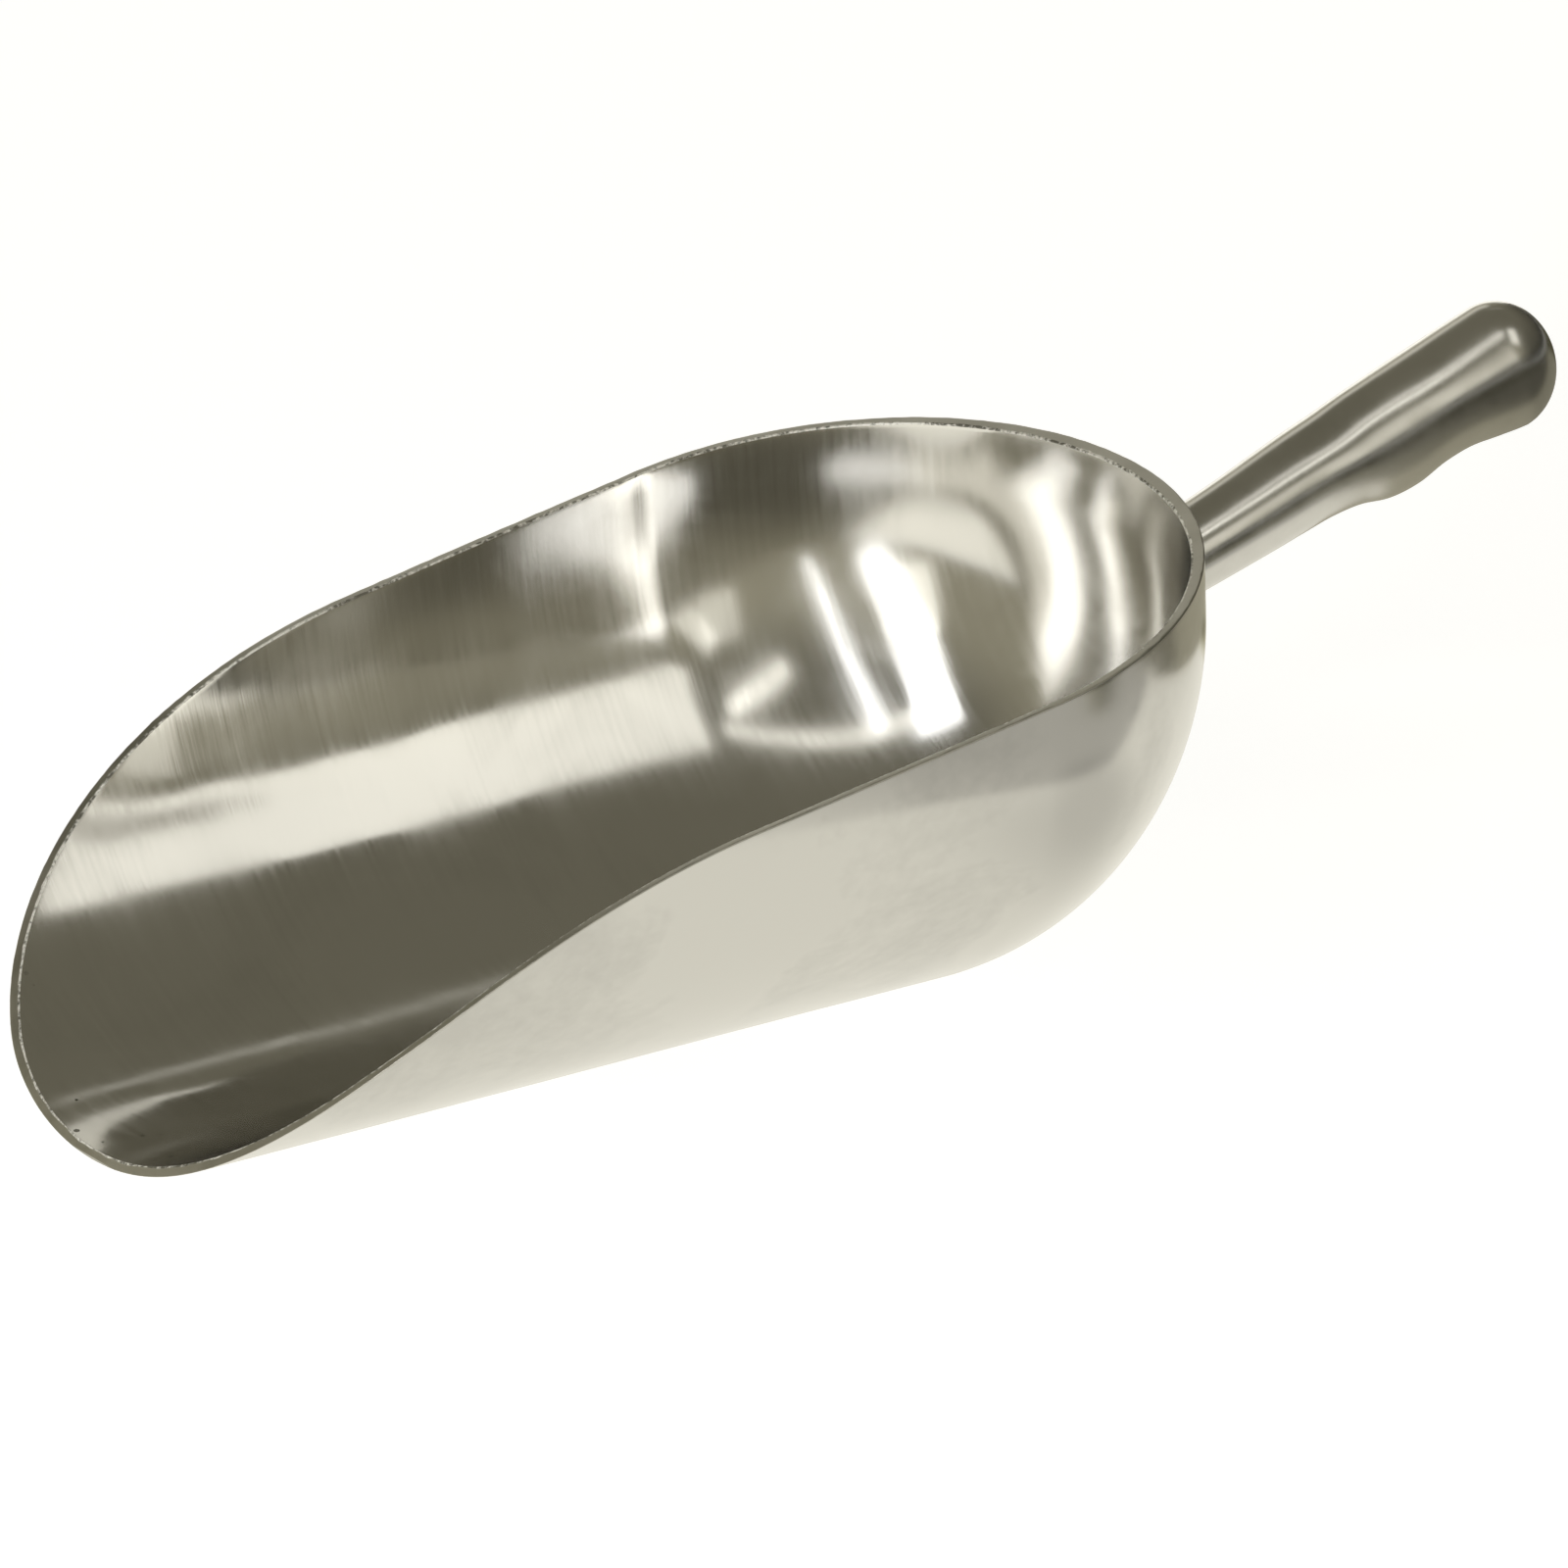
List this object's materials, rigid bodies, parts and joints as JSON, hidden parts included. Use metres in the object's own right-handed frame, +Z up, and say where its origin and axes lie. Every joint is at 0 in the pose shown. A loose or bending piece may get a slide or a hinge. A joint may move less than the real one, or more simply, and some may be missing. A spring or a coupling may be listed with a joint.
{
  "type": "ice scoop",
  "caption": "Cast aluminium ice scoop with a deep open trough bowl, rounded rear end, ground rim and an upward-sloping finger-grooved handle.",
  "frame": {"origin": "middle of the bottom of the bounding box, on the lowest line of the round bowl", "axes": "+X from the lip towards the handle, +Z up out of the open bowl, Y = 0 is the plane of symmetry"},
  "size_m": [0.3906, 0.176, 0.1185],
  "materials": {
    "bowl_aluminium": "cast aluminium, polished bright inside, buffed outside, ground flat along the rim",
    "handle_aluminium": "cast aluminium, satin buffed"
  },
  "bodies": {
    "root": {"bowl": "bowl_aluminium", "handle_root": "handle_aluminium", "handle": "handle_aluminium"}
  },
  "joints": []
}
